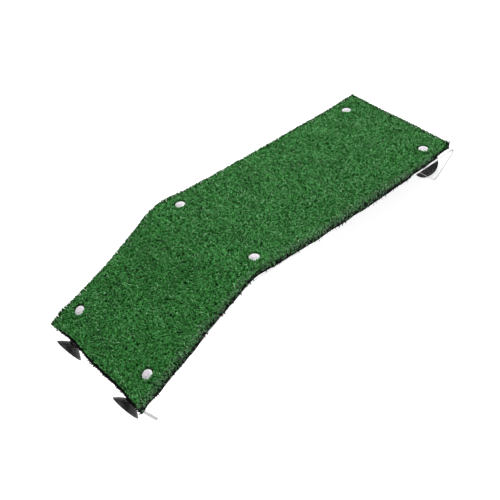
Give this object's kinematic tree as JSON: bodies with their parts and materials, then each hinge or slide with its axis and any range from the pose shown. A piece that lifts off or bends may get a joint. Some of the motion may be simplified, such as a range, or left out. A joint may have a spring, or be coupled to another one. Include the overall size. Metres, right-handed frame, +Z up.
{
  "type": "turtle basking platform",
  "caption": "Clear bent plate with green turf on top: a level basking deck and a sloping ramp, with a suction-cup flange at each end for an aquarium.",
  "frame": {"origin": "on the aquarium wall, midway between the two wall suction cups, in the plane that their lips touch", "axes": "+X away from the wall, out along the ramp; +Y across the plate, to the left when looking down the ramp; +Z up"},
  "size_m": [0.4452, 0.15, 0.1813],
  "materials": {
    "clear_acrylic": "gloss",
    "turf_backing": "matte",
    "turf_pile": "matte",
    "rivet_nylon": "satin",
    "pin_nylon": "satin",
    "cup_rubber": "satin"
  },
  "bodies": {
    "platform": {"acrylic_plate": "clear_acrylic", "turf_backing": "turf_backing", "turf_pile": "turf_pile", "rivet_body_wall_left": "rivet_nylon", "rivet_body_wall_right": "rivet_nylon", "rivet_body_fold_left": "rivet_nylon", "rivet_body_fold_right": "rivet_nylon", "rivet_body_foot_left": "rivet_nylon", "rivet_body_foot_right": "rivet_nylon", "rivet_pin_wall_left": "pin_nylon", "rivet_pin_wall_right": "pin_nylon", "rivet_pin_fold_left": "pin_nylon", "rivet_pin_fold_right": "pin_nylon", "rivet_pin_foot_left": "pin_nylon", "rivet_pin_foot_right": "pin_nylon"},
    "wall_cup_left_body": {"suction_wall_cup_left": "cup_rubber"},
    "wall_cup_right_body": {"suction_wall_cup_right": "cup_rubber"},
    "foot_cup_left_body": {"suction_foot_cup_left": "cup_rubber"},
    "foot_cup_right_body": {"suction_foot_cup_right": "cup_rubber"}
  },
  "joints": [
    {"name": "wall_cup_left_spin", "type": "hinge", "parent": "platform", "child": "wall_cup_left_body", "pos_m": [0.0093, 0.051, 0], "axis": [-1, 0, 0], "continuous": true},
    {"name": "wall_cup_right_spin", "type": "hinge", "parent": "platform", "child": "wall_cup_right_body", "pos_m": [0.0093, -0.051, 0], "axis": [-1, 0, 0], "continuous": true},
    {"name": "foot_cup_left_spin", "type": "hinge", "parent": "platform", "child": "foot_cup_left_body", "pos_m": [0.41848, 0.048, -0.14845], "axis": [0.2164, 0, -0.9763], "continuous": true},
    {"name": "foot_cup_right_spin", "type": "hinge", "parent": "platform", "child": "foot_cup_right_body", "pos_m": [0.41848, -0.048, -0.14845], "axis": [0.2164, 0, -0.9763], "continuous": true}
  ]
}
